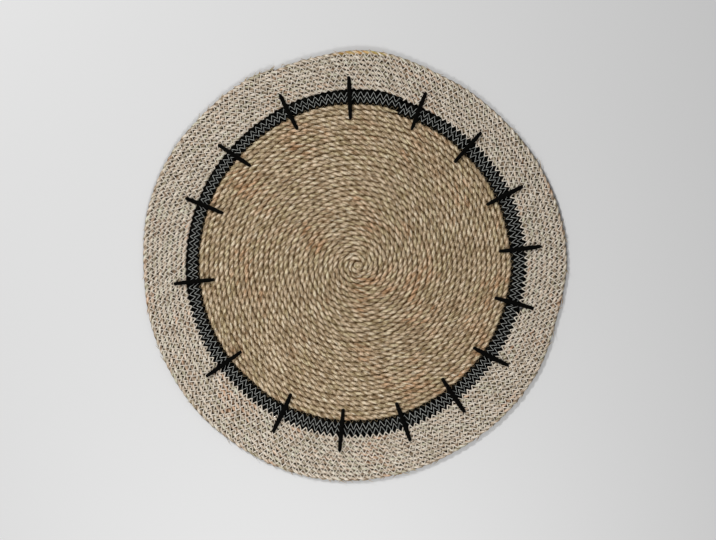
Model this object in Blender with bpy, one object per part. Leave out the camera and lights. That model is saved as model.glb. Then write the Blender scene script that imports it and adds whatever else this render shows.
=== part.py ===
"""Round seagrass placemat: a natural centre, a black band and a pale border, each a flat
coil of two-ply cord sewn edge to edge, with sixteen thick yarn stitches laid across the band.

Metres, +Z up.  The mat lies flat on z = 0, its face side up, and the origin is the centre of
its bounding box on that plane.  Each coil is modelled as the flat solid that its cord fills.
"""

import math

import bmesh
import bpy
import numpy as np

# ---- driving dimensions, metres -----------------------------------------------------------
CORD_PITCH = 0.00442        # cord centre to cord centre across the rows
MAT_THICKNESS = 0.0048      # one cord
SEAM_GAP = 0.0003           # between two coils, and under the stitches
CENTRE_RADIUS = 0.13980     # seam between the centre coil and the black band, on average
BAND_RADIUS = 0.15290       # seam between the band and the border, on average
RIM_RADIUS = 0.19000        # outer edge, on average

SPLICE_ANGLE = 75.0         # degrees; here the rows of the spiral step outwards by one cord
SPLICE_SPREAD = 14.0        # degrees over which that step is eased
SIDES = 144                 # facets round each outline
RIM_FACETS = 6              # facets over the round outer edge of the border
EDGE_CHAMFER = 0.0007       # where two coils meet, above and below

STITCH_WIDTH = 0.0044       # at the middle of a yarn stitch
STITCH_TIP_WIDTH = 0.0027
STITCH_HEIGHT = 0.0020
STITCH_TIP_HEIGHT = 0.0010
STITCH_SECTIONS = 7
STITCH_SIDES = 5            # facets over the round top of a stitch

# Hand-coiled rows are never even.  How far each seam and the rim lie outside (+) or inside (-)
# an even spiral, in millimetres, every 15 degrees counter-clockwise from +X.
UNEVENNESS = [
    # angle, centre seam, band seam, rim
    (0, -0.8, 0.1, -1.2),
    (15, -1.0, 0.7, -1.2),
    (30, 0.0, 1.2, -2.3),
    (45, 0.2, 0.8, -3.5),
    (60, 1.2, 0.9, -2.2),
    (75, 1.8, 1.8, -0.8),
    (90, 2.2, 2.4, 0.4),
    (105, 3.1, 2.2, -2.0),
    (120, 2.3, 0.9, 1.5),
    (135, 2.0, -0.4, 1.5),
    (150, 1.6, -0.8, 3.0),
    (165, 0.8, -1.3, 2.6),
    (180, 0.1, -1.2, -0.1),
    (195, 0.3, -0.2, 0.9),
    (210, 0.2, 0.5, 1.8),
    (225, -0.5, -0.3, 2.8),
    (240, -0.2, -0.1, 2.9),
    (255, -0.7, 0.8, 3.6),
    (270, -1.2, 0.4, 2.2),
    (285, -1.6, -0.4, -0.1),
    (300, -2.5, -1.7, -1.6),
    (315, -2.4, -2.3, -1.6),
    (330, -2.4, -2.3, -2.0),
    (345, -2.4, -1.6, -4.3),
]
CENTRE_SEAM, BAND_SEAM, RIM = 1, 2, 3   # columns of the table above

# Yarn stitches: where each goes down into the mat at its inner and its outer end,
# as polar angle in degrees and radius in millimetres from the eye of the coil.
YARN_STITCHES = [
    # name, inner angle, outer angle, inner radius, outer radius
    ("stitch_01", 5.7, 6.0, 126.7, 166.2),
    ("stitch_02", 25.1, 25.6, 126.9, 165.4),
    ("stitch_03", 46.7, 47.0, 125.6, 163.6),
    ("stitch_04", 68.1, 68.3, 130.2, 167.4),
    ("stitch_05", 92.6, 92.5, 130.1, 170.0),
    ("stitch_06", 113.6, 114.3, 131.6, 168.5),
    ("stitch_07", 136.8, 139.0, 129.4, 165.5),
    ("stitch_08", 158.7, 158.5, 127.6, 165.6),
    ("stitch_09", 185.6, 185.7, 126.9, 165.1),
    ("stitch_10", 216.6, 216.3, 127.3, 167.9),
    ("stitch_11", 242.8, 243.2, 127.4, 167.6),
    ("stitch_12", 264.5, 264.6, 127.3, 167.4),
    ("stitch_13", 285.9, 286.9, 126.2, 164.8),
    ("stitch_14", 307.1, 306.3, 124.8, 163.7),
    ("stitch_15", 324.8, 326.7, 125.9, 163.0),
    ("stitch_16", 346.9, 346.3, 125.1, 163.4),
]

# colour (linear RGB), roughness
FINISHES = {
    "natural_cord": ((0.30, 0.225, 0.140), 0.75),
    "black_cord": ((0.022, 0.022, 0.020), 0.80),
    "border_cord": ((0.42, 0.35, 0.27), 0.80),
    "black_yarn": ((0.006, 0.006, 0.005), 0.90),
}


# ---- outlines -----------------------------------------------------------------------------
def spiral_step(angle):
    """What the coil's spiral adds at this angle, in metres.  The cord winds outwards clockwise
    seen from above, so an edge gains one pitch over a turn and drops back at the splice."""
    steps = 15
    total = 0.0
    for i in range(steps):
        spread = SPLICE_SPREAD * (i / (steps - 1) - 0.5)
        total += 0.5 - ((angle + spread - SPLICE_ANGLE) % 360.0) / 360.0
    return CORD_PITCH * total / steps


def unevenness(angle, column):
    """Smooth closed curve through one column of the table, in metres."""
    rows = len(UNEVENNESS)
    step = 360.0 / rows
    i, t = divmod((angle % 360.0) / step, 1.0)
    a, b, c, d = (UNEVENNESS[(int(i) + k) % rows][column] for k in (-1, 0, 1, 2))
    value = b + 0.5 * t * (c - a + t * (2 * a - 5 * b + 4 * c - d + t * (3 * (b - c) + d - a)))
    return value / 1000.0


def edge_radius(angle, radius, column):
    return radius + spiral_step(angle) + unevenness(angle, column)


def outline(radius, column, inset=0.0):
    """The edge as an array of (x, y), measured from the eye of the coil."""
    angles = [360.0 * i / SIDES for i in range(SIDES)]
    return np.array(
        [
            (r * math.cos(math.radians(a)), r * math.sin(math.radians(a)))
            for a, r in ((a, edge_radius(a, radius, column) - inset) for a in angles)
        ]
    )


# The eye of the coil is a little off the middle, so everything is placed from the box's centre.
RIM_POINTS = outline(RIM_RADIUS, RIM)
BOX_CENTRE = (RIM_POINTS.min(axis=0) + RIM_POINTS.max(axis=0)) / 2


# ---- building -----------------------------------------------------------------------------
def clear_scene():
    for obj in list(bpy.data.objects):
        bpy.data.objects.remove(obj, do_unlink=True)


def material(name):
    colour, roughness = FINISHES[name]
    made = bpy.data.materials.new(name)
    made.use_nodes = True
    made.diffuse_color = (*colour, 1.0)
    shader = made.node_tree.nodes["Principled BSDF"]
    shader.inputs["Base Color"].default_value = (*colour, 1.0)
    shader.inputs["Roughness"].default_value = roughness
    shader.inputs["Metallic"].default_value = 0.0
    return made


def add_object(name, bm, slot, location=(0.0, 0.0, 0.0), turn=0.0):
    bmesh.ops.recalc_face_normals(bm, faces=bm.faces)
    mesh = bpy.data.meshes.new(name)
    bm.to_mesh(mesh)
    bm.free()
    mesh.materials.append(slot)
    mesh.shade_smooth()
    mesh.set_sharp_from_angle(angle=math.radians(40))
    obj = bpy.data.objects.new(name, mesh)
    obj.location = location
    obj.rotation_euler = (0.0, 0.0, turn)
    bpy.context.scene.collection.objects.link(obj)
    return obj


def loop_at(bm, points, z):
    return [bm.verts.new((x - BOX_CENTRE[0], y - BOX_CENTRE[1], z)) for x, y in points]


def wall(bm, lower, upper):
    for i in range(len(lower)):
        j = (i + 1) % len(lower)
        bm.faces.new((lower[i], lower[j], upper[j], upper[i]))


def edge_profile(rounded):
    """(inset, z) up one edge: a half-round cord, or a small chamfer above and below."""
    if not rounded:
        c = EDGE_CHAMFER
        return [(c, 0.0), (0.0, c), (0.0, MAT_THICKNESS - c), (c, MAT_THICKNESS)]
    half = MAT_THICKNESS / 2
    profile = []
    for i in range(RIM_FACETS + 1):
        angle = -math.pi / 2 + math.pi * i / RIM_FACETS
        profile.append((half - half * math.cos(angle), half + half * math.sin(angle)))
    return profile


def disc(name, slot, radius, column, rounded=False):
    """A flat round piece; its faces are fans round the eye of the coil."""
    bm = bmesh.new()
    loops = [
        loop_at(bm, outline(radius, column, SEAM_GAP / 2 + inset), z)
        for inset, z in edge_profile(rounded)
    ]
    for lower, upper in zip(loops, loops[1:]):
        wall(bm, lower, upper)
    for ring, z in ((loops[0], 0.0), (loops[-1], MAT_THICKNESS)):
        hub = bm.verts.new((-BOX_CENTRE[0], -BOX_CENTRE[1], z))
        for i in range(SIDES):
            bm.faces.new((ring[i], ring[(i + 1) % SIDES], hub))
    return add_object(name, bm, slot)


def ring(name, slot, inner, inner_column, outer, outer_column, rounded=False):
    """A flat ring between two seams, or between a seam and the rim."""
    bm = bmesh.new()
    gap = 0.0 if rounded else SEAM_GAP / 2
    outside = [
        loop_at(bm, outline(outer, outer_column, gap + inset), z)
        for inset, z in edge_profile(rounded)
    ]
    inside = [
        loop_at(bm, outline(inner, inner_column, -SEAM_GAP / 2 - inset), z)
        for inset, z in edge_profile(False)
    ]
    for lower, upper in zip(outside, outside[1:]):
        wall(bm, lower, upper)
    for lower, upper in zip(inside, inside[1:]):
        wall(bm, upper, lower)
    wall(bm, inside[0], outside[0])
    wall(bm, outside[-1], inside[-1])
    return add_object(name, bm, slot)


def stitch(name, slot, start, end):
    """A thick yarn stitch lying on the mat: flat below, round above, thinner at both ends."""
    length = math.dist(start, end)
    bm = bmesh.new()
    sections = []
    for i in range(STITCH_SECTIONS):
        t = i / (STITCH_SECTIONS - 1)
        fullness = math.sin(math.pi * t) ** 0.8 if 0 < t < 1 else 0.0
        half_width = (STITCH_TIP_WIDTH + (STITCH_WIDTH - STITCH_TIP_WIDTH) * fullness) / 2
        height = STITCH_TIP_HEIGHT + (STITCH_HEIGHT - STITCH_TIP_HEIGHT) * fullness
        section = []
        for k in range(STITCH_SIDES + 1):
            a = math.pi * k / STITCH_SIDES
            section.append(
                bm.verts.new(((t - 0.5) * length, half_width * math.cos(a), height * math.sin(a)))
            )
        sections.append(section)
    for a, b in zip(sections, sections[1:]):
        for k in range(STITCH_SIDES + 1):
            m = (k + 1) % (STITCH_SIDES + 1)
            bm.faces.new((a[k], a[m], b[m], b[k]))
    bm.faces.new(sections[0])
    bm.faces.new(sections[-1])
    middle = ((start[0] + end[0]) / 2, (start[1] + end[1]) / 2, MAT_THICKNESS + SEAM_GAP)
    turn = math.atan2(end[1] - start[1], end[0] - start[0])
    return add_object(name, bm, slot, middle, turn)


def from_eye(angle, radius_mm):
    """Polar place about the eye of the coil, as (x, y) from the origin."""
    a = math.radians(angle)
    r = radius_mm / 1000.0
    return (r * math.cos(a) - BOX_CENTRE[0], r * math.sin(a) - BOX_CENTRE[1])


def main():
    clear_scene()
    slots = {name: material(name) for name in FINISHES}
    disc("centre_coil", slots["natural_cord"], CENTRE_RADIUS, CENTRE_SEAM)
    ring("black_band", slots["black_cord"], CENTRE_RADIUS, CENTRE_SEAM, BAND_RADIUS, BAND_SEAM)
    ring("border_coil", slots["border_cord"], BAND_RADIUS, BAND_SEAM, RIM_RADIUS, RIM, rounded=True)
    for name, inner_angle, outer_angle, inner_radius, outer_radius in YARN_STITCHES:
        stitch(
            name,
            slots["black_yarn"],
            from_eye(inner_angle, inner_radius),
            from_eye(outer_angle, outer_radius),
        )


main()
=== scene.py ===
"""Looks of the seagrass placemat: every cord of the coil as a twisted two-ply tube at its real length, the zigzag
sewing above and below, the thick yarn stitches, loose grass ends, and procedural materials."""

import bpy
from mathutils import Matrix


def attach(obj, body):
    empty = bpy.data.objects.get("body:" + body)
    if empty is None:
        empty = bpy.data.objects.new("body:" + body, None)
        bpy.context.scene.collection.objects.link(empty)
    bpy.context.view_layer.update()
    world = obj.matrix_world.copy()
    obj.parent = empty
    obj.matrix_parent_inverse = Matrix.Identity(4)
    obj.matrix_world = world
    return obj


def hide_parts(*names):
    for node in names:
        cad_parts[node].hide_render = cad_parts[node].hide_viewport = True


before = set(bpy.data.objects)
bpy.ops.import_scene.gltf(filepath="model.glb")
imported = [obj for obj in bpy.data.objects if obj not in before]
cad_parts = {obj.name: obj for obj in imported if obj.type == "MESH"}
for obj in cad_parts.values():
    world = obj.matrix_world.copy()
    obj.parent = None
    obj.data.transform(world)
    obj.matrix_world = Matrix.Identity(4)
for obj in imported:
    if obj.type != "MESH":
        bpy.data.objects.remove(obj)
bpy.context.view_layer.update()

import math

import bpy
import numpy as np

MM = 0.001
rng = np.random.default_rng(75)

# ------------------------------------------------------------------ sizes, millimetres (as in the CAD)
PITCH = 4.42
THICK = 4.8
CENTRE_R, BAND_R, RIM_R = 139.80, 152.90, 190.00
SPLICE, SPREAD = 75.0, 14.0
UNEVENNESS = np.array([
    # angle, centre seam, band seam, rim
    (0, -0.8, 0.1, -1.2), (15, -1.0, 0.7, -1.2), (30, 0.0, 1.2, -2.3), (45, 0.2, 0.8, -3.5),
    (60, 1.2, 0.9, -2.2), (75, 1.8, 1.8, -0.8), (90, 2.2, 2.4, 0.4), (105, 3.1, 2.2, -2.0),
    (120, 2.3, 0.9, 1.5), (135, 2.0, -0.4, 1.5), (150, 1.6, -0.8, 3.0), (165, 0.8, -1.3, 2.6),
    (180, 0.1, -1.2, -0.1), (195, 0.3, -0.2, 0.9), (210, 0.2, 0.5, 1.8), (225, -0.5, -0.3, 2.8),
    (240, -0.2, -0.1, 2.9), (255, -0.7, 0.8, 3.6), (270, -1.2, 0.4, 2.2), (285, -1.6, -0.4, -0.1),
    (300, -2.5, -1.7, -1.6), (315, -2.4, -2.3, -1.6), (330, -2.4, -2.3, -2.0), (345, -2.4, -1.6, -4.3),
])
YARN_STITCHES = [
    # name, inner angle, outer angle, inner radius, outer radius
    ("stitch_01", 5.7, 6.0, 126.7, 166.2), ("stitch_02", 25.1, 25.6, 126.9, 165.4),
    ("stitch_03", 46.7, 47.0, 125.6, 163.6), ("stitch_04", 68.1, 68.3, 130.2, 167.4),
    ("stitch_05", 92.6, 92.5, 130.1, 170.0), ("stitch_06", 113.6, 114.3, 131.6, 168.5),
    ("stitch_07", 136.8, 139.0, 129.4, 165.5), ("stitch_08", 158.7, 158.5, 127.6, 165.6),
    ("stitch_09", 185.6, 185.7, 126.9, 165.1), ("stitch_10", 216.6, 216.3, 127.3, 167.9),
    ("stitch_11", 242.8, 243.2, 127.4, 167.6), ("stitch_12", 264.5, 264.6, 127.3, 167.4),
    ("stitch_13", 285.9, 286.9, 126.2, 164.8), ("stitch_14", 307.1, 306.3, 124.8, 163.7),
    ("stitch_15", 324.8, 326.7, 125.9, 163.0), ("stitch_16", 346.9, 346.3, 125.1, 163.4),
]

# ------------------------------------------------------------------ cord construction
PLY_R = 1.60            # radius of one ply
PLY_C = 0.70            # distance of a ply from the cord's axis
TWIST = 14.7            # length of one full turn of the two plies (Z twist)
MID_Z = 2.40
BORDER_START = 345.0    # the border cord starts here, against the band
BORDER_END = 113.0      # and its tail ends here, at the rim
TAPER = 8.0             # degrees of taper at a cord's end
STITCH_STEP = 2.8       # one leg of the zigzag sewing along the row


# ------------------------------------------------------------------ outlines
def spiral_step(angle):
    """The step of a clockwise-outward spiral, softened over the splice."""
    total = 0.0
    for i in range(15):
        total = total + 0.5 - ((angle + SPREAD * (i / 14 - 0.5) - SPLICE) % 360.0) / 360.0
    return PITCH * total / 15


def raw_step(angle):
    return PITCH * (0.5 - ((angle - SPLICE) % 360.0) / 360.0)


def uneven(angle, column):
    rows = len(UNEVENNESS)
    f = (np.asarray(angle, float) % 360.0) / (360.0 / rows)
    i = np.floor(f).astype(int)
    t = f - i
    a, b, c, d = (UNEVENNESS[(i + k) % rows, column] for k in (-1, 0, 1, 2))
    return b + 0.5 * t * (c - a + t * (2 * a - 5 * b + 4 * c - d + t * (3 * (b - c) + d - a)))


def seam1(angle):
    return CENTRE_R + spiral_step(angle) + uneven(angle, 1)


def seam2(angle):
    return BAND_R + spiral_step(angle) + uneven(angle, 2)


def rim(angle):
    return RIM_R + spiral_step(angle) + uneven(angle, 3)


_a = np.arange(144) * 2.5
_r = rim(_a)
_xy = np.stack([_r * np.cos(np.radians(_a)), _r * np.sin(np.radians(_a))], 1)
EYE = -(_xy.min(0) + _xy.max(0)) / 2       # the coil's eye, from the origin of the row frame


def smooth01(x):
    x = np.clip(x, 0, 1)
    return x * x * (3 - 2 * x)


def wobble(x, seed, scale, octaves=3):
    """Smooth seeded noise along a length, about -1 to 1."""
    gen = np.random.default_rng(seed)
    x = np.asarray(x, float)
    out = np.zeros_like(x)
    norm = 0.0
    for o in range(octaves):
        step = scale / 2 ** o
        f = x / step
        i = np.floor(f).astype(int)
        n = int(i.max() - i.min()) + 3
        knots = gen.uniform(-1, 1, n)
        t = smooth01(f - i)
        j = i - i.min()
        w = 0.6 ** o
        out += w * (knots[j] * (1 - t) + knots[j + 1] * t)
        norm += w
    return out / norm


# ------------------------------------------------------------------ the three cords as rows of a spiral
V_CENTRE = CENTRE_R / PITCH                # turns of the centre cord
V0 = 0.16                                  # where the cord starts beside the eye
BAND_TURNS = 3.0


class Coil:
    """A cord laid in a spiral: v counts turns, and everything is sampled finely over v."""

    def __init__(self, v_start, v_end, angle_of, low_of, high_of, seed, spread=1.0, squash=0.92, loose=1.0, raised=0.0):
        self.spread, self.squash = spread, squash            # pressed flat, and sideways into the next rows
        n = int((v_end - v_start) * 360) + 2
        self.v = np.linspace(v_start, v_end, n)
        self.angle = angle_of(self.v)
        low, high = low_of(self.v, self.angle), high_of(self.v, self.angle)
        self.r = (low + high) / 2
        self.w = high - low
        t = np.radians(self.angle)
        x, y = self.r * np.cos(t), self.r * np.sin(t)
        self.s = np.concatenate([[0], np.cumsum(np.hypot(np.diff(x), np.diff(y)))])
        self.length = float(self.s[-1])
        self.seed = seed
        # uneven hand: the twist tightens and slackens, the cord wanders and swells
        phase = 2 * math.pi * self.s / TWIST
        self.phase = phase + (0.9 * wobble(self.s, seed, 90.0) + 0.35 * wobble(self.s, seed + 1, 17.0, 2))
        self.fat = 1.0 + 0.06 * wobble(self.s, seed + 2, 45.0) + 0.06 * wobble(self.s, seed + 3, 9.0, 2)
        self.side = loose * (0.22 * wobble(self.s, seed + 4, 26.0) + 0.10 * wobble(self.s, seed + 9, 8.0, 2))
        self.lift = loose * (0.12 * wobble(self.s, seed + 5, 30.0) + 0.08 * wobble(self.s, seed + 10, 9.0, 2)) + raised
        self.end = 0.30 + 0.70 * smooth01(np.minimum(self.s / 14.0, (self.length - self.s) / 14.0))

    def at(self, v, name):
        return np.interp(v, self.v, getattr(self, name))

    def place(self, v):
        """Cord's centre (x, y) at turn v and the outward unit normal, in millimetres from the eye."""
        t = np.radians(self.at(v, "angle"))
        r = self.at(v, "r") + self.at(v, "side") * self.at(v, "end")
        return r * np.cos(t), r * np.sin(t)

    def half(self, v):
        """Scale of the cord's section sideways, 1 where the row is one pitch wide."""
        return self.spread * np.minimum(self.at(v, "w") / PITCH, 1.12) * self.at(v, "fat") * self.at(v, "end")


def centre_angle(v):
    return SPLICE - 360.0 * (v - V_CENTRE)


def centre_mid(v, angle):
    inner = np.clip(v / V_CENTRE, 0, 1.2)
    d = uneven(angle, 1)
    d2 = uneven(angle, 2)
    mix = np.clip((v - V_CENTRE) / BAND_TURNS, 0, 1)
    grow = np.where(v <= V_CENTRE, inner ** 1.5, 1.0)
    bend = grow * d * (1 - mix) + mix * d2
    width = np.where(v > V_CENTRE, (BAND_R - CENTRE_R) / BAND_TURNS, PITCH)
    base = np.where(v <= V_CENTRE, PITCH * v, CENTRE_R + width * (v - V_CENTRE))
    return base + bend


def centre_low(v, angle):
    return centre_mid(v - 0.5, angle)


def centre_high(v, angle):
    return centre_mid(v + 0.5, angle)


def border_angle(v):
    return BORDER_START - 360.0 * v


BORDER_TURNS = 8 + ((BORDER_START - BORDER_END) % 360.0) / 360.0


def rows_at(angle):
    """Rows across the border: nine clockwise from its start to its tail, eight in between."""
    a = np.asarray(angle, float) % 360.0
    to_start = (a - BORDER_START + 180.0) % 360.0 - 180.0
    to_end = (a - BORDER_END + 180.0) % 360.0 - 180.0
    near_start = smooth01((TAPER - to_start) / (2 * TAPER))      # 0 before the start, 1 past it clockwise
    near_end = smooth01((to_end + TAPER) / (2 * TAPER))          # 1 before the tail's end, 0 past it
    inside = ((BORDER_START - a) % 360.0) < ((BORDER_START - BORDER_END) % 360.0)
    extra = np.where(np.abs(to_start) < TAPER, near_start, np.where(np.abs(to_end) < TAPER, near_end, inside * 1.0))
    return extra


def border_edges(v):
    """Inner and outer edge of the border's row at turn v."""
    angle = border_angle(v)
    a = angle % 360.0
    # index of the row counted from the rim side stays fixed through the start
    to_start = (a - BORDER_START + 180.0) % 360.0 - 180.0
    frac = np.mod(v + TAPER / 360.0, 1.0) - TAPER / 360.0        # from -TAPER degrees to 1 turn less that
    row = v - frac                                               # whole turns, changing at the start's near side
    shift = np.where(np.abs(to_start) < TAPER, smooth01((TAPER - to_start) / (2 * TAPER)), 1.0)
    # before the start line the rows are numbered one lower
    to_end = (a - BORDER_END + 180.0) % 360.0 - 180.0
    gone = np.where(np.abs(to_end) < TAPER, 1 - smooth01((to_end + TAPER) / (2 * TAPER)), 0.0)
    inside = ((BORDER_START - a) % 360.0) < ((BORDER_START - BORDER_END) % 360.0)
    in_start = np.abs(to_start) < TAPER
    in_end = np.abs(to_end) < TAPER
    count = np.where(in_start, 8 + shift, np.where(in_end, 9 - gone, np.where(inside, 9.0, 8.0)))
    low_q = np.where(in_start, row - 1 + shift, row)
    return angle, count, np.maximum(low_q, 0.0), low_q + 1.0


def border_low(v, angle):
    _, count, low_q, _ = border_edges(v)
    inner, outer = seam2(angle), rim(angle)
    return inner + (outer - inner) * np.clip(low_q / count, 0, 1)


def border_high(v, angle):
    _, count, _, high_q = border_edges(v)
    inner, outer = seam2(angle), rim(angle)
    return inner + (outer - inner) * np.clip(high_q / count, 0.02, 1)


centre = Coil(V0, V_CENTRE, centre_angle, centre_low, centre_high, 11, spread=1.10, squash=0.83, loose=2.0)
band = Coil(V_CENTRE, V_CENTRE + BAND_TURNS, centre_angle, centre_low, centre_high, 23, spread=1.04, squash=0.88)
border = Coil(0.0, BORDER_TURNS, border_angle, border_low, border_high, 37, spread=1.0, squash=0.90)
# the last cord's end, a short length laid back on the rim
tail = Coil(0.0, 17.0 / 360, lambda v: 97.5 - 360 * v, lambda v, a: rim(a) - 4.3, lambda v, a: rim(a) - 0.1, 53, spread=0.86, squash=0.84, raised=0.45)


# ------------------------------------------------------------------ meshes
def build_mesh(name, verts, quads, tris, uv, material, depth=None):
    """verts in metres, quads (n, 4), tris (m, 3), uv per corner in the same order."""
    mesh = bpy.data.meshes.new(name)
    nq, nt = len(quads), len(tris)
    loops = np.concatenate([quads.ravel(), tris.ravel()]).astype(np.int32)
    mesh.vertices.add(len(verts))
    mesh.vertices.foreach_set("co", verts.astype(np.float32).ravel())
    mesh.loops.add(len(loops))
    mesh.loops.foreach_set("vertex_index", loops)
    mesh.polygons.add(nq + nt)
    starts = np.concatenate([np.arange(nq) * 4, nq * 4 + np.arange(nt) * 3]).astype(np.int32)
    mesh.polygons.foreach_set("loop_start", starts)
    mesh.update(calc_edges=True)
    mesh.validate()
    mesh.polygons.foreach_set("use_smooth", np.ones(nq + nt, bool))
    layer = mesh.uv_layers.new(name="strand")
    layer.uv.foreach_set("vector", uv.astype(np.float32).ravel())
    # the "depth" attribute carries the painted shade of the grass materials
    if depth is not None:
        mesh.attributes.new("depth", "FLOAT", "POINT").data.foreach_set("value", depth.astype(np.float32).ravel())
    mesh.materials.append(material)
    mesh.update()
    obj = bpy.data.objects.new(name, mesh)
    bpy.context.scene.collection.objects.link(obj)
    return obj


def rings_to_faces(n_rings, m, v_low, v_high, u):
    """Quads of one closed tube with per-corner UVs; v_low and v_high give v at each side's two edges per ring."""
    i = np.arange(n_rings - 1)[:, None]
    k = np.arange(m)[None]
    k2 = (k + 1) % m
    quads = np.stack([i * m + k, i * m + k2, (i + 1) * m + k2, (i + 1) * m + k], -1).reshape(-1, 4)
    u0 = np.broadcast_to(u[:-1, None], (n_rings - 1, m))
    u1 = np.broadcast_to(u[1:, None], (n_rings - 1, m))
    uv = np.stack([
        np.stack([u0, v_low[:-1]], -1), np.stack([u0, v_high[:-1]], -1),
        np.stack([u1, v_high[1:]], -1), np.stack([u1, v_low[1:]], -1),
    ], 2).reshape(-1, 2)
    return quads, uv


LOBE = np.degrees(math.acos(-PLY_C / PLY_R))            # where the two plies meet, from a ply's own centre
PER_LOBE = 5
SECTION = []                                             # (lobe, angle round the ply)
for lobe in (0, 1):
    for k in range(PER_LOBE + 1):
        SECTION.append((lobe, -LOBE + 2 * LOBE * k / (PER_LOBE + 1)))
SECTION = np.array(SECTION)                              # first point of each lobe is the crease


def cord_mesh(name, coil, step, material, fibre=0.55):
    """The whole coil as one closed tube with a two-ply section that turns along it."""
    total = coil.length
    n = int(total / step) + 1
    s = np.linspace(0, total, n)
    v = np.interp(s, coil.s, coil.v)
    x, y = coil.place(v)
    tx, ty = np.gradient(x), np.gradient(y)
    norm = np.hypot(tx, ty)
    nx, ny = ty / norm, -tx / norm                       # sideways
    outward = np.sign(nx * x + ny * y)
    outward[outward == 0] = 1
    flip = 1.0 if np.median(outward) > 0 else -1.0
    nx, ny = nx * flip, ny * flip
    phase = coil.at(v, "phase")
    half = coil.half(v)
    fat = coil.at(v, "fat") * (0.55 + 0.45 * coil.at(v, "end"))
    m = len(SECTION)
    psi = np.radians(SECTION[:, 1])
    sign = np.where(SECTION[:, 0] == 0, 1.0, -1.0)
    px = sign * (PLY_C + PLY_R * np.cos(psi))            # a lobe's points in the turning frame
    py = sign * (PLY_R * np.sin(psi))
    # each ply swells and thins by itself
    swell = np.where(sign[None] > 0, 1 + 0.06 * wobble(s, coil.seed + 7, 9.0, 2)[:, None], 1 + 0.06 * wobble(s, coil.seed + 8, 9.0, 2)[:, None])
    ca, sa = np.cos(phase)[:, None], np.sin(phase)[:, None]
    ax = (px * ca - py * sa) * swell * half[:, None]
    az = (px * sa + py * ca) * swell * coil.squash * fat[:, None]
    z = MID_Z + coil.at(v, "lift")[:, None] + az
    low, high = 0.22, THICK + 0.02
    z = np.where(z < low, low + (z - low) * 0.25, np.where(z > high, high + (z - high) * 0.25, z))
    z = np.maximum(z, 0.04)
    verts = np.stack([
        (EYE[0] + x[:, None] + nx[:, None] * ax) * MM,
        (EYE[1] + y[:, None] + ny[:, None] * ax) * MM,
        z * MM,
    ], -1).reshape(-1, 3)
    psi_next = np.where(np.arange(m) % (PER_LOBE + 1) == PER_LOBE, math.radians(LOBE), np.roll(psi, -1))
    twist = fibre * phase[:, None] / (2 * math.pi)
    # painted shade: the creases between the two plies and the lower parts of the cord are darkened in the colour,
    # through the "depth" attribute
    crease_shade_mask = (np.arange(m) % (PER_LOBE + 1) == 0) * 1.0
    low_shade_mask = np.clip((3.75 - z) / 1.6, 0, 1)
    depth = np.maximum(np.broadcast_to(crease_shade_mask[None], z.shape) * 0.80, low_shade_mask).reshape(-1)
    lobe_shift = SECTION[:, 0] * 0.5
    v_low = psi[None] / (2 * math.pi) + lobe_shift[None] + twist
    v_high = psi_next[None] / (2 * math.pi) + lobe_shift[None] + twist
    quads, uv = rings_to_faces(n, m, v_low, v_high, s * 0.01)
    # end caps: fans round a middle point
    c0, c1 = len(verts), len(verts) + 1
    verts = np.vstack([verts, verts[:m].mean(0), verts[-m:].mean(0)])
    # the middle points of the end caps get half of that painted shade
    depth = np.append(depth, [0.5, 0.5])
    k = np.arange(m)
    first = np.stack([np.full(m, c0), (k + 1) % m, k], 1)
    last = np.stack([np.full(m, c1), (n - 1) * m + k, (n - 1) * m + (k + 1) % m], 1)
    tris = np.vstack([first, last])
    uv = np.vstack([uv, np.zeros((len(tris) * 3, 2))])
    # outward-facing check: the side of the frame decides the winding
    area = signed_volume(verts, quads)
    if area < 0:
        quads = quads[:, ::-1]
        uvq = uv[: len(quads) * 4].reshape(-1, 4, 2)[:, ::-1].reshape(-1, 2)
        uv = np.vstack([uvq, uv[len(quads) * 4:]])
        tris = tris[:, ::-1]
    return build_mesh(name, verts, quads, tris, uv, material, depth)


def signed_volume(verts, quads):
    q = verts[quads[: 40000]]
    c = q.reshape(-1, 3).mean(0)
    a, b, d, e = (q[:, k] - c for k in range(4))
    return float(np.einsum("ij,ij->", a, np.cross(b, d)) + np.einsum("ij,ij->", a, np.cross(d, e)))


def ply_height(coil, v, side, up):
    """Height of the cord's surface above (up = 1) or below (up = -1) its middle at a sideways distance, in mm."""
    phase = coil.at(v, "phase")
    half = coil.half(v)
    fat = coil.at(v, "fat") * (0.55 + 0.45 * coil.at(v, "end"))
    best = np.full(np.shape(v), -9.0)
    for sign in (1, -1):
        cx = sign * PLY_C * np.cos(phase)
        cz = sign * PLY_C * np.sin(phase) * up
        d = side / half - cx
        inside = PLY_R ** 2 - d ** 2
        h = cz + np.sqrt(np.maximum(inside, 0))
        best = np.where(inside > 0, np.maximum(best, h), best)
    lift = coil.at(v, "lift") * up
    return np.where(best > -9, best * coil.squash * fat + lift, -9.0)


def taut(t_out, t, h):
    """Heights at t_out of a thread pulled tight over the heights h (legs, samples) found at t."""
    out = np.empty((h.shape[0], len(t_out)))
    for k, at in enumerate(t_out):
        best = np.full(h.shape[0], -9.0)
        for a in range(len(t)):
            if t[a] > at:
                break
            for b in range(len(t) - 1, -1, -1):
                if t[b] < at:
                    break
                f = 0.0 if a == b else (at - t[a]) / (t[b] - t[a])
                best = np.maximum(best, h[:, a] * (1 - f) + h[:, b] * f)
        out[:, k] = best
    return out


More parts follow.
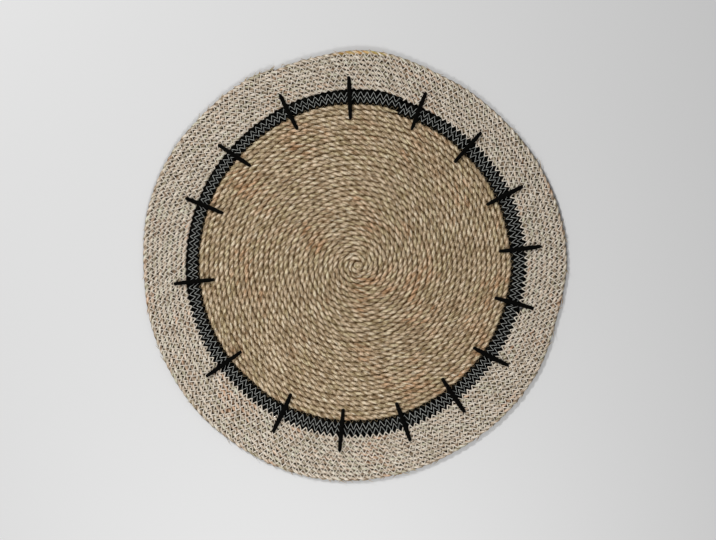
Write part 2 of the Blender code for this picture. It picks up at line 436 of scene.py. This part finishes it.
def legs_mesh(name, legs, width, thick, sides, material, seed, taper=None):
    """Sewing legs as short closed tubes.  legs is (n, samples, 3) in mm, and each leg is buried at both ends."""
    n, k, _ = legs.shape
    d = np.gradient(legs, axis=1)
    d /= np.linalg.norm(d, axis=2, keepdims=True)
    up = np.array([0, 0, 1.0])
    side = np.cross(d, up)
    side /= np.linalg.norm(side, axis=2, keepdims=True)
    top = np.cross(side, d)
    angles = 2 * math.pi * (np.arange(sides) + 0.5) / sides
    if sides == 4:
        angles = 2 * math.pi * np.arange(4) / 4
    gen = np.random.default_rng(seed)
    size = gen.uniform(0.85, 1.15, (n, 1, 1, 1))
    if taper is not None:
        size = size * np.asarray(taper)[None, :, None, None]
    ring = legs[:, :, None] + size * (
        np.cos(angles)[None, None, :, None] * side[:, :, None] * width / 2
        + np.sin(angles)[None, None, :, None] * top[:, :, None] * thick / 2)
    verts = ring.reshape(-1, 3) * MM
    verts[:, 2] = np.maximum(verts[:, 2], 0.00001)
    base = (np.arange(n) * k * sides)[:, None, None]
    i = np.arange(k - 1)[None, :, None] * sides
    j = np.arange(sides)[None, None]
    j2 = (j + 1) % sides
    quads = np.stack(np.broadcast_arrays(base + i + j, base + i + sides + j, base + i + sides + j2, base + i + j2), -1).reshape(-1, 4)
    u = gen.uniform(0, 50, n)
    seg = np.linspace(0, 0.03, k)
    uu = (u[:, None] + seg[None])
    u0 = np.broadcast_to(uu[:, :-1, None], (n, k - 1, sides))
    u1 = np.broadcast_to(uu[:, 1:, None], (n, k - 1, sides))
    v0 = np.broadcast_to(np.arange(sides)[None, None] / sides, (n, k - 1, sides))
    v1 = v0 + 1.0 / sides
    uv = np.stack([np.stack([u0, v0], -1), np.stack([u1, v0], -1), np.stack([u1, v1], -1), np.stack([u0, v1], -1)], 3).reshape(-1, 2)
    caps = []
    for start in (0, (k - 1) * sides):
        b = (np.arange(n) * k * sides + start)[:, None]
        if sides == 4:
            a = np.concatenate([b + [[0, 1, 2]], b + [[0, 2, 3]]])
        else:
            a = b + [[0, 1, 2]]
        caps.append(a if start == 0 else a[:, ::-1])
    tris = np.vstack(caps)
    uv = np.vstack([uv, np.zeros((len(tris) * 3, 2))])
    if signed_volume_leg(verts, quads, k, sides) < 0:
        nq = len(quads)
        quads = quads[:, ::-1]
        uvq = uv[: nq * 4].reshape(-1, 4, 2)[:, ::-1].reshape(-1, 2)
        uv = np.vstack([uvq, uv[nq * 4:]])
        tris = tris[:, ::-1]
    return build_mesh(name, verts, quads, tris, uv, material)


def signed_volume_leg(verts, quads, k, sides):
    """Sign of the first leg's volume."""
    q = verts[quads[: (k - 1) * sides]]
    c = q.reshape(-1, 3).mean(0)
    a, b, d, e = (q[:, m] - c for m in range(4))
    return float(np.einsum("ij,ij->", a, np.cross(b, d)) + np.einsum("ij,ij->", a, np.cross(d, e)))


def seam_rows(kind):
    """Each seam as (inner coil, inner v, outer coil, outer v) sampled along it, with the seam's length in mm."""
    if kind == "centre":
        v = np.linspace(V0 + 0.5, V_CENTRE - 1.0, int((V_CENTRE - 1.5 - V0) * 180))
        last = np.linspace(V_CENTRE - 1.0, V_CENTRE, 240)
        return [(centre, v, centre, v + 1.0), (centre, last, band, last + 1.0)]
    if kind == "band":
        inner = np.linspace(V_CENTRE, V_CENTRE + 2.0, 480)
        return [(band, inner, band, inner + 1.0)]
    rows = []
    # the band's last turn against the border's first row, then the border against itself
    lead = ((SPLICE - BORDER_START) % 360.0) / 360.0
    v = np.linspace(V_CENTRE + BAND_TURNS - 1.0, V_CENTRE + BAND_TURNS, 240)
    angle = centre_angle(v)
    turn = ((BORDER_START - angle) % 360.0) / 360.0
    rows.append((band, v, border, turn))
    v = np.linspace(0.0, BORDER_TURNS - 1.0, int((BORDER_TURNS - 1.0) * 240))
    rows.append((border, v, border, v + 1.0))
    return rows


def sew(kind, up, samples, bite, depth, thick, reach=None, spacing=STITCH_STEP, slant=0.12, seed=5):
    """Legs of the zigzag over every seam of one kind, on the upper or the under side."""
    gen = np.random.default_rng(seed)
    out = []
    for coil_a, va, coil_b, vb in seam_rows(kind):
        ax, ay = coil_a.place(va)
        bx, by = coil_b.place(vb)
        mx, my = (ax + bx) / 2, (ay + by) / 2
        s = np.concatenate([[0], np.cumsum(np.hypot(np.diff(mx), np.diff(my)))])
        # where the border cord's start is passed, the row number jumps: leave that leg out
        if kind == "band":
            # the rows of the band keep in step, with an even number of holes to a turn
            per_turn = 2 * round(s[-1] / (va[-1] - va[0]) / spacing / 2)
            n = int((va[-1] - va[0]) * per_turn) - 1
            holes = np.interp(va[0] + (np.arange(n + 1) + 0.5) / per_turn, va, s)
            holes = holes + gen.uniform(-0.10, 0.10, n + 1) * spacing
        else:
            n = int(s[-1] / spacing)
            holes = (np.arange(n + 1) + 0.5) * spacing + gen.uniform(-0.13, 0.13, n + 1) * spacing
        t_out = np.array({2: (0, 1), 3: (0, 0.5, 1), 4: (0, 0.13, 0.87, 1), 5: (0, 0.11, 0.5, 0.89, 1)}[samples])
        t = np.linspace(0, 1, 13)
        holes[1::2] -= slant * spacing
        holes = np.clip(holes, 0, s[-1])
        a, b = holes[:-1], holes[1:]
        flip = (np.arange(n) % 2)[:, None]
        bite_in = bite[0] + gen.uniform(-0.08, 0.08, (n, 1))
        bite_out = bite[1] + gen.uniform(-0.08, 0.08, (n, 1))
        if reach is not None:
            change = reach(np.degrees(np.arctan2(np.interp(a, s, my), np.interp(a, s, mx))), np.interp(a, s, va))[:, None]
            bite_in, bite_out = bite_in + change[..., 0], bite_out + change[..., 1]

        def lay(t):
            along = a[:, None] * (1 - t) + b[:, None] * t
            cross = np.where(flip == 0, t, 1 - t)                  # 0 at the inner hole, 1 at the outer
            f = (0.5 - bite_in) * (1 - cross) + (0.5 + bite_out) * cross
            qa, qb = np.interp(along, s, va), np.interp(along, s, vb)
            pax, pay = coil_a.place(qa)
            pbx, pby = coil_b.place(qb)
            return qa, qb, f, np.hypot(pbx - pax, pby - pay), pax + (pbx - pax) * f, pay + (pby - pay) * f

        qa, qb, f, gap, _, _ = lay(t[None])
        h = np.maximum(ply_height(coil_a, qa, f * gap, up), ply_height(coil_b, qb, (1 - f) * gap, up))
        h = taut(np.clip(t_out, t[1], t[-2]), t[1:-1], np.maximum(h, 0.2)[:, 1:-1])
        if up > 0:
            h = np.minimum(h + thick * 0.32, THICK - MID_Z + 0.45)
        else:
            h = np.minimum(h + thick * 0.2, MID_Z - thick * 0.5 - 0.01)
        h[:, 0] = h[:, 1] - depth
        h[:, -1] = h[:, -2] - depth
        qa, qb, f, gap, x, y = lay(t_out[None])
        jump = np.abs(np.interp(b, s, vb) - np.interp(a, s, vb)) > 0.3
        keep = ~jump & (gap.max(1) < 7.5) & (gap.min(1) > 1.2)
        pts = np.stack([EYE[0] + x, EYE[1] + y, MID_Z + up * h], -1)[keep]
        out.append(pts)
    return np.vstack(out)


# ------------------------------------------------------------------ materials
def srgb(r, g, b):
    out = []
    for c in (r, g, b):
        c = c / 255.0
        out.append(c / 12.92 if c <= 0.04045 else ((c + 0.055) / 1.055) ** 2.4)
    return (*out, 1.0)


class Nodes:
    """Small helper for building a node material."""

    def __init__(self, name, rough, spec=0.3):
        self.mat = bpy.data.materials.new(name)
        self.mat.use_nodes = True
        self.tree = self.mat.node_tree
        self.shader = self.tree.nodes["Principled BSDF"]
        self.shader.inputs["Roughness"].default_value = rough
        self.shader.inputs["Specular IOR Level"].default_value = spec

    def add(self, kind, **inputs):
        node = self.tree.nodes.new(kind)
        for key, value in inputs.items():
            if hasattr(node, key) and key not in node.inputs:
                setattr(node, key, value)
        return node

    def link(self, a, b):
        self.tree.links.new(a, b)

    def value(self, socket, value):
        if hasattr(value, "is_output") or isinstance(value, bpy.types.NodeSocket):
            self.link(value, socket)
        else:
            socket.default_value = value

    def uv(self):
        node = self.tree.nodes.new("ShaderNodeUVMap")
        node.uv_map = "strand"
        return node.outputs["UV"]

    def position(self):
        return self.tree.nodes.new("ShaderNodeTexCoord").outputs["Object"]

    def scaled(self, vector, scale, offset=(0, 0, 0)):
        node = self.tree.nodes.new("ShaderNodeMapping")
        node.inputs["Scale"].default_value = scale
        node.inputs["Location"].default_value = offset
        self.link(vector, node.inputs["Vector"])
        return node.outputs["Vector"]

    def noise(self, vector, scale, detail=2.0, rough=0.5, distortion=0.0):
        node = self.tree.nodes.new("ShaderNodeTexNoise")
        node.inputs["Scale"].default_value = scale
        node.inputs["Detail"].default_value = detail
        node.inputs["Roughness"].default_value = rough
        node.inputs["Distortion"].default_value = distortion
        self.link(vector, node.inputs["Vector"])
        return node.outputs["Fac"]

    def ramp(self, fac, stops):
        node = self.tree.nodes.new("ShaderNodeValToRGB")
        ramp = node.color_ramp
        while len(ramp.elements) < len(stops):
            ramp.elements.new(0.5)
        for element, (at, colour) in zip(ramp.elements, stops):
            element.position = at
            element.color = colour if hasattr(colour, "__len__") else (colour, colour, colour, 1.0)
        self.link(fac, node.inputs["Fac"])
        return node.outputs["Color"]

    def mix(self, fac, a, b, blend="MIX"):
        node = self.tree.nodes.new("ShaderNodeMix")
        node.data_type = "RGBA"
        node.blend_type = blend
        self.value(node.inputs[0], fac)
        for socket, value in ((node.inputs[6], a), (node.inputs[7], b)):
            if isinstance(value, bpy.types.NodeSocket):
                self.link(value, socket)
            else:
                socket.default_value = value
        return node.outputs[2]

    def math(self, op, a, b=0.0, clamp=False):
        node = self.tree.nodes.new("ShaderNodeMath")
        node.operation = op
        node.use_clamp = clamp
        self.value(node.inputs[0], a)
        self.value(node.inputs[1], b)
        return node.outputs[0]

    def bump(self, height, distance, strength=1.0, normal=None):
        node = self.tree.nodes.new("ShaderNodeBump")
        node.inputs["Distance"].default_value = distance
        node.inputs["Strength"].default_value = strength
        self.link(height, node.inputs["Height"])
        if normal is not None:
            self.link(normal, node.inputs["Normal"])
        return node.outputs["Normal"]


def grass_material(name, dark, mid, light, green, red, fleck_pale_and_highlight, red_share=0.5, crease_shade_level=0.20, rough=(0.75, 0.52), spec=0.03, slope_shade_level=0.84):
    """Twisted seagrass: long blades along each ply, straw to khaki, with greener and redder lengths, pale flecks that
    are partly painted highlight, and painted shade in the creases and low parts, read from the "depth" attribute.
    """
    m = Nodes(name, 0.62, spec)
    uv = m.uv()
    pos = m.position()
    blades = m.noise(m.scaled(uv, (12.0, 8.0, 1.0)), 1.0, 2.0, 0.55)
    fine = m.noise(m.scaled(uv, (36.0, 30.0, 1.0)), 1.0, 2.0, 0.6)
    crowns = m.noise(m.scaled(uv, (20.0, 2.6, 1.0), (1.7, 0.3, 0)), 1.0, 1.0, 0.5)
    lengths = m.noise(m.scaled(uv, (2.4, 2.0, 1.0), (3.1, 7.7, 0)), 1.0, 2.0, 0.5)
    patches = m.noise(pos, 24.0, 3.0, 0.55)
    tone = m.math("ADD", m.math("MULTIPLY", blades, 0.27), m.math("ADD", m.math("MULTIPLY", fine, 0.35), m.math("MULTIPLY", crowns, 0.38)))
    base = m.ramp(tone, [(0.41, dark), (0.50, mid), (0.585, light)])
    is_green = m.ramp(lengths, [(0.38, 1.0), (0.50, 0.0)])
    colour = m.mix(is_green, base, m.mix(1.0, base, green, "MULTIPLY"))
    is_red = m.math("MULTIPLY", m.ramp(lengths, [(0.46, 0.0), (0.60, 1.0)]), m.ramp(patches, [(0.50, 0.12), (0.62, 1.0)]))
    colour = m.mix(m.math("MULTIPLY", is_red, red_share), colour, m.mix(1.0, colour, red, "MULTIPLY"))
    # pale flecks: lighter blades, partly a painted highlight of glossy grass
    pale_flecks_and_highlight = m.noise(m.scaled(uv, (11.0, 5.5, 1.0), (9.0, 2.0, 0)), 1.0, 1.0, 0.5)
    colour = m.mix(m.ramp(pale_flecks_and_highlight, [(0.62, 0.0), (0.72, 0.85)]), colour, fleck_pale_and_highlight)
    # painted shade: the "depth" attribute darkens the colour towards a warm brown in the creases and low parts, where
    # shade falls
    depth = m.tree.nodes.new("ShaderNodeAttribute")
    depth.attribute_name = "depth"
    deep_shade_colour = (*(crease_shade_level * k for k in (1.0, 0.72, 0.42)), 1.0)
    shade = m.ramp(depth.outputs["Fac"], [(0.0, 1.0), (0.45, (slope_shade_level, slope_shade_level * 0.96, slope_shade_level * 0.89, 1.0)), (1.0, deep_shade_colour)])
    colour = m.mix(1.0, colour, shade, "MULTIPLY")
    m.link(colour, m.shader.inputs["Base Color"])
    m.link(m.ramp(blades, [(0.35, rough[0]), (0.65, rough[1])]), m.shader.inputs["Roughness"])
    ridge = m.noise(m.scaled(uv, (6.0, 16.0, 1.0)), 1.0, 3.0, 0.65)
    m.link(m.bump(ridge, 0.00045, 0.9, m.bump(fine, 0.00015, 0.8)), m.shader.inputs["Normal"])
    return m.mat


def thread_material(name, low, high, rough=0.75):
    """Twisted sewing thread."""
    m = Nodes(name, rough, 0.25)
    uv = m.uv()
    tone = m.noise(m.scaled(uv, (1.0, 3.0, 1.0)), 1.3, 2.0, 0.6)
    colour = m.ramp(tone, [(0.35, low), (0.65, high)])
    m.link(colour, m.shader.inputs["Base Color"])
    wave = m.tree.nodes.new("ShaderNodeTexWave")
    wave.bands_direction = "DIAGONAL"
    wave.inputs["Scale"].default_value = 1.0
    wave.inputs["Distortion"].default_value = 1.0
    m.link(m.scaled(uv, (55.0, 1.0, 1.0)), wave.inputs["Vector"])
    m.link(m.bump(wave.outputs["Fac"], 0.00006, 0.6), m.shader.inputs["Normal"])
    return m.mat


def yarn_material(name, low, high):
    m = Nodes(name, 0.95, 0.05)
    uv = m.uv()
    fibres = m.noise(m.scaled(uv, (40.0, 60.0, 1.0)), 1.0, 3.0, 0.65)
    colour = m.ramp(fibres, [(0.35, low), (0.75, high)])
    m.link(colour, m.shader.inputs["Base Color"])
    m.link(m.bump(fibres, 0.0003, 0.9), m.shader.inputs["Normal"])
    m.shader.inputs["Sheen Weight"].default_value = 0.02
    m.shader.inputs["Sheen Roughness"].default_value = 0.5
    return m.mat


natural = grass_material(
    "seagrass_natural",
    srgb(138, 114, 84), srgb(205, 183, 152), srgb(249, 232, 205), srgb(246, 248, 236), srgb(248, 219, 199), srgb(252, 242, 220), 0.85, slope_shade_level=0.87)
tail_grass = grass_material(
    "seagrass_tail",
    srgb(140, 104, 56), srgb(200, 162, 104), srgb(232, 204, 150), srgb(206, 224, 170), srgb(252, 190, 140), srgb(250, 236, 200), 0.9)
pale = grass_material(
    "seagrass_border",
    srgb(136, 112, 90), srgb(224, 206, 183), srgb(255, 248, 234), srgb(232, 240, 232), srgb(250, 220, 200), srgb(253, 247, 236), 0.85,
    crease_shade_level=0.03, slope_shade_level=0.66)
black = grass_material(
    "seagrass_dyed_black",
    srgb(2, 2, 2), srgb(7, 7, 6), srgb(22, 22, 20), srgb(220, 225, 230), srgb(245, 225, 210), srgb(44, 44, 40), 0.3,
    crease_shade_level=0.3, rough=(0.92, 0.75), spec=0.03)
white_thread = thread_material("thread_off_white", srgb(204, 190, 171), srgb(254, 245, 231))
fine_thread = thread_material("thread_fine_white", srgb(168, 171, 167), srgb(226, 228, 222))
khaki_thread = thread_material("thread_khaki", srgb(132, 114, 86), srgb(168, 148, 116))
yarn = yarn_material("yarn_black", srgb(3, 3, 2), srgb(12, 11, 10))

# ------------------------------------------------------------------ the pieces
centre_obj = cord_mesh("centre_cord", centre, 1.72, natural)
band_obj = cord_mesh("band_cord", band, 1.2, black)
border_obj = cord_mesh("border_cord", border, 1.25, pale)
tail_obj = cord_mesh("border_cord_end", tail, 0.8, tail_grass)
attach(tail_obj, "root")

def coil_heart(material):
    """The cord's first end, tucked down into the eye of the coil."""
    rings, around = 7, 14
    a = np.linspace(0, 2 * math.pi, around, endpoint=False)
    b = np.linspace(-0.5, 0.5, rings + 2)[1:-1] * math.pi
    twist = 1 + 0.12 * np.sin(2 * a[None] + 2.5 * b[:, None])
    skirt = 2.3 * np.clip(-2.2 * np.sin(b), 0, 1)[:, None]      # wider low down, under the first turn
    x = (2.7 * twist + skirt) * np.cos(b)[:, None] * np.cos(a)
    y = (2.3 * twist + skirt) * np.cos(b)[:, None] * np.sin(a)
    z = np.broadcast_to(1.35 * np.sin(b)[:, None], x.shape)
    verts = np.stack([EYE[0] + x, EYE[1] + y, 2.35 + z], -1).reshape(-1, 3)
    verts = np.vstack([verts, [[EYE[0], EYE[1], 1.0], [EYE[0], EYE[1], 3.7]]]) * MM
    i = (np.arange(rings - 1) * around)[:, None]
    j = np.arange(around)[None]
    j2 = (j + 1) % around
    quads = np.stack(np.broadcast_arrays(i + j, i + j2, i + around + j2, i + around + j), -1).reshape(-1, 4)
    low, high = rings * around, rings * around + 1
    j, j2 = j[0], j2[0]
    last = (rings - 1) * around
    tris = np.vstack([np.stack([np.full(around, low), j2, j], 1), np.stack([np.full(around, high), last + j, last + j2], 1)])
    uv = np.vstack([verts[quads.reshape(-1)][:, :2], verts[tris.reshape(-1)][:, :2]]) * np.array([60.0, 260.0]) + 3.0
    obj = build_mesh("centre_cord_start", verts, quads, tris, uv, material)
    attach(obj, "root")
    return obj


heart = coil_heart(natural)


def loose_ends(name, count, material, seed, where):
    """Ends of single grass blades that have come out of the twist.  where is rim, border or centre."""
    gen = np.random.default_rng(seed)
    if where == "rim":
        angle = np.concatenate([gen.uniform(0, 360, count // 2), gen.normal(268, 14, count // 4), gen.normal(118, 9, count - count // 2 - count // 4)])
        r = rim(angle) - gen.uniform(0.4, 1.4, count)
        z0, rise = gen.uniform(1.6, 4.0, count), gen.uniform(-0.5, 0.6, count)
        away = np.radians(gen.uniform(12, 42, count))
    else:
        angle = gen.uniform(0, 360, count)
        if where == "centre":
            r = np.sqrt(gen.uniform(0.01, 0.96, count)) * (seam1(angle) - 2)
        else:
            r = gen.uniform(seam2(angle) + 2, rim(angle) - 3)
        z0, rise = np.full(count, 4.35), gen.uniform(0.35, 0.85, count)
        away = np.radians(gen.uniform(-38, 8, count))
    length = gen.uniform(2.5, 7.5, count)
    turn = gen.choice([1.0, -1.0], count)                      # along the row, either way
    t = np.radians(angle)
    out = np.stack([np.cos(t), np.sin(t)], 1)
    row = np.stack([-np.sin(t), np.cos(t)], 1) * turn[:, None]
    if where != "rim":
        away = away * turn * -1.0                              # they keep the slant of the twist
    k = np.linspace(0, 1, 5)[None, :]
    bend = gen.uniform(-0.25, 0.25, count)
    run = length[:, None] * k
    swing = away[:, None] + bend[:, None] * k
    xy = (out * r[:, None])[:, None] + row[:, None] * (run * np.cos(swing))[..., None] + out[:, None] * (run * np.sin(swing))[..., None]
    if where == "rim":
        z = z0[:, None] + rise[:, None] * k
        far = np.hypot(xy[..., 0], xy[..., 1]) - rim(angle)[:, None]
        keep = far.max(1) < 2.6
    else:
        z = z0[:, None] + rise[:, None] * np.sin(math.pi * np.clip(k * 1.15, 0, 1)) + 0.25 * k
        keep = np.full(count, True)
    pts = np.concatenate([EYE + xy, z[..., None]], -1)[keep]
    obj = legs_mesh(name, pts, 0.52, 0.22, 3, material, seed, taper=(0.7, 1.0, 0.9, 0.6, 0.15))
    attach(obj, "root")
    return obj


ends_rim = loose_ends("loose_ends_rim", 150, tail_grass, 61, "rim")
ends_border = loose_ends("loose_ends_border", 110, pale, 62, "border")
ends_centre = loose_ends("loose_ends_centre", 240, natural, 63, "centre")


def seam_blades(name, rows, material, seed):
    """Pressed grass deep in each seam, where the sides of two neighbouring cords meet, coloured with the full painted
    crease shade.
    """
    legs = []
    for coil_a, va, coil_b, vb in rows:
        ax, ay = coil_a.place(va)
        bx, by = coil_b.place(vb)
        mx, my = (ax + bx) / 2, (ay + by) / 2
        gap = np.hypot(bx - ax, by - ay)
        s = np.concatenate([[0], np.cumsum(np.hypot(np.diff(mx), np.diff(my)))])
        stops = [0.0]
        while stops[-1] < s[-1]:
            r = math.hypot(np.interp(stops[-1], s, mx), np.interp(stops[-1], s, my))
            stops.append(min(stops[-1] + min(max(0.35 * r, 0.9), 4.8), s[-1]))
        stops = np.array(stops)
        a, b = np.maximum(stops[:-1] - 0.35, 0), np.minimum(stops[1:] + 0.35, s[-1])
        keep = np.abs(np.interp(b, s, vb) - np.interp(a, s, vb)) < 0.3
        for end in (a, b):
            wide = np.interp(end, s, gap)
            keep &= (wide > 1.2) & (wide < 7.5)
        along = np.stack([a, b], 1)
        legs.append(np.stack([EYE[0] + np.interp(along, s, mx), EYE[1] + np.interp(along, s, my), np.full(along.shape, 1.95)], -1)[keep])
    obj = legs_mesh(name, np.vstack(legs), 2.7, 1.3, 4, material, seed)
    # the whole piece gets the full painted shade through the "depth" attribute
    depth = obj.data.attributes.new("depth", "FLOAT", "POINT")
    depth.data.foreach_set("value", np.ones(len(obj.data.vertices), np.float32))
    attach(obj, "root")
    return obj


first = np.linspace(V0, V0 + 0.55, 80)
blades_centre = seam_blades("centre_seam_blades", [(centre, first, centre, first + 1.0)] + seam_rows("centre")[:1], natural, 71)
blades_band = seam_blades("band_seam_blades", seam_rows("centre")[1:] + seam_rows("band") + seam_rows("border")[:1], black, 72)
blades_border = seam_blades("border_seam_blades", seam_rows("border")[1:], pale, 73)


def band_edge(angle, v):
    """The seam of band and border is sewn deep into the black row, except from the upper right round to the left,
    where it stays on the border's side."""
    a = np.asarray(angle) % 360.0
    outer = smooth01((a - 55.0) / 10.0) * smooth01((198.0 - a) / 10.0)
    on_seam = (np.asarray(v) > V_CENTRE + BAND_TURNS - 1.001) * 1.0
    return np.stack([on_seam * -0.45 * outer, on_seam * 0.10 * outer], -1)


sewing = {}
for kind, width, thick, top_n, low_n, bite, sides, mat in (
        ("centre", 0.34, 0.24, 4, 3, (0.42, 0.42), 3, khaki_thread),
        ("band", 0.33, 0.26, 5, 4, (0.60, 0.60), 4, fine_thread),
        ("border", 0.94, 0.44, 5, 4, (0.50, 0.50), 4, white_thread)):
    pieces = []
    for up, samples in ((1, top_n), (-1, low_n)):
        legs = sew(kind, up, samples, bite, 0.45 if kind != "centre" else 0.25, thick, band_edge if kind == "border" else None, seed=5 if up > 0 else 6)
        pieces.append(legs_mesh(f"{kind}_thread_{'upper' if up > 0 else 'under'}", legs, width, thick, sides, mat, 3 + up))
    sewing[kind] = pieces


def yarn_stitch(name, inner_angle, outer_angle, inner_r, outer_r, seed):
    """A thick soft yarn of a few strands, lying on the rows and going down into the mat at both ends."""
    gen = np.random.default_rng(seed)
    a = np.array([inner_r * math.cos(math.radians(inner_angle)), inner_r * math.sin(math.radians(inner_angle))]) + EYE
    b = np.array([outer_r * math.cos(math.radians(outer_angle)), outer_r * math.sin(math.radians(outer_angle))]) + EYE
    length = float(np.linalg.norm(b - a))
    d = (b - a) / length
    side = np.array([-d[1], d[0]])
    n, m = 44, 20
    t = np.linspace(0, 1, n)
    peak = gen.uniform(0.45, 0.60)
    full = np.where(t < peak, np.sin(math.pi / 2 * t / peak), np.sin(math.pi / 2 * (1 - t) / (1 - peak)))
    full = np.clip(full, 0, 1) ** 0.75
    wide = 1.30 + gen.uniform(0.75, 1.0) * full                       # half width
    tall = 0.75 + 0.55 * full                                         # half height
    close = np.minimum(1, np.minimum(t, 1 - t) * length / 1.6) ** 0.5 # rounded ends
    wide, tall = wide * (0.25 + 0.75 * close), tall * (0.35 + 0.65 * close)
    dive = np.exp(-(t * length / 1.7) ** 2) + np.exp(-((1 - t) * length / 1.7) ** 2)
    z = THICK - 0.15 + tall * 0.86 - 2.3 * dive + 0.06 * wobble(t * length, seed + 1, 6.0, 2)
    bend = gen.uniform(-0.35, 0.35) * np.sin(math.pi * t) + 0.10 * wobble(t * length, seed + 2, 10.0, 2)
    strands, twist = 5, 2 * math.pi * length / 34.0 * gen.choice([1.0, 0.8, 1.2])
    phi = 2 * math.pi * np.arange(m) / m
    rel = phi[None] + twist * t[:, None] + gen.uniform(0, 6)
    lobes = 1 - 0.13 * np.abs(np.sin(strands * rel / 2)) ** 3 * 1.0
    ring_x = wide[:, None] * lobes * np.cos(phi)[None]
    ring_z = tall[:, None] * lobes * np.sin(phi)[None]
    base = a[None] + d[None] * (t * length)[:, None]
    xy = base[:, None] + side[None, None] * (ring_x + bend[:, None])[..., None]
    zz = z[:, None] + ring_z
    zz = np.maximum(zz, THICK - 2.6)
    verts = np.concatenate([xy, zz[..., None]], -1).reshape(-1, 3) * MM
    v_low = np.broadcast_to(np.arange(m)[None] / m, (n, m)) + (twist * t / (2 * math.pi))[:, None]
    quads, uv = rings_to_faces(n, m, v_low, v_low + 1.0 / m, t * length * 0.01)
    c0, c1 = len(verts), len(verts) + 1
    verts = np.vstack([verts, verts[:m].mean(0), verts[-m:].mean(0)])
    k = np.arange(m)
    tris = np.vstack([np.stack([np.full(m, c0), (k + 1) % m, k], 1), np.stack([np.full(m, c1), (n - 1) * m + k, (n - 1) * m + (k + 1) % m], 1)])
    uv = np.vstack([uv, np.zeros((len(tris) * 3, 2))])
    if signed_volume(verts, quads) < 0:
        nq = len(quads)
        quads = quads[:, ::-1]
        uv = np.vstack([uv[: nq * 4].reshape(-1, 4, 2)[:, ::-1].reshape(-1, 2), uv[nq * 4:]])
        tris = tris[:, ::-1]
    obj = build_mesh("yarn_" + name, verts, quads, tris, uv, yarn)
    return obj


for i, (name, *row) in enumerate(YARN_STITCHES):
    obj = yarn_stitch(name, *row, 100 + 7 * i)
    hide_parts(name)
    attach(obj, "root")

for obj, node, slot_name in ((centre_obj, "centre_coil", "natural_cord"), (band_obj, "black_band", "black_cord"), (border_obj, "border_coil", "border_cord")):
    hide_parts(node)
    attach(obj, "root")
for kind, slot_name in (("centre", "natural_cord"), ("band", "black_cord"), ("border", "border_cord")):
    for obj in sewing[kind]:
        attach(obj, "root")

# ------------------------------------------------------------------ floor, light, camera
PX = 380.0 / 426.2                                       # millimetres to one pixel of a 716 wide frame
floor_mesh = bpy.data.meshes.new("floor")
S = 3.0
floor_mesh.from_pydata([(-S, -S, 0), (S, -S, 0), (S, S, 0), (-S, S, 0)], [], [(0, 1, 2, 3)])
floor = bpy.data.objects.new("floor", floor_mesh)
bpy.context.scene.collection.objects.link(floor)
paper = Nodes("floor_paper", 0.9, 0.1)
paper.shader.inputs["Base Color"].default_value = (0.80, 0.80, 0.80, 1)
floor_mesh.materials.append(paper.mat)

world = bpy.data.worlds.new("studio")
world.use_nodes = True
world.node_tree.nodes["Background"].inputs["Color"].default_value = (1, 1, 1, 1)
world.node_tree.nodes["Background"].inputs["Strength"].default_value = 0.275
bpy.context.scene.world = world


def area_light(name, at, size, power):
    data = bpy.data.lights.new(name, "AREA")
    data.shape = "SQUARE"
    data.size = size
    data.energy = power
    obj = bpy.data.objects.new(name, data)
    obj.location = at
    obj.visible_camera = False
    direction = -np.array(at, float)
    from mathutils import Vector
    obj.rotation_euler = Vector(direction).to_track_quat("-Z", "Y").to_euler()
    bpy.context.scene.collection.objects.link(obj)
    return obj


area_light("key", (-0.80, 0.86, 1.10), 0.20, 13.2)
area_light("low", (-0.05, -0.56, 0.60), 0.20, 2.3)

cam_data = bpy.data.cameras.new("camera")
cam = bpy.data.objects.new("camera", cam_data)
DIST = 1.7
cam_data.sensor_width = 36.0
cam_data.lens = 36.0 * (DIST - 0.0048) / (716 * PX * MM)
cam_data.clip_start = 0.05
cam.location = (2.6 * MM, -4.0 * MM, DIST)
cam.rotation_euler = (0, 0, 0)
bpy.context.scene.collection.objects.link(cam)
bpy.context.scene.camera = cam
bpy.context.scene.view_settings.view_transform = "Standard"
bpy.context.scene.view_settings.look = "None"

bpy.context.view_layer.update()
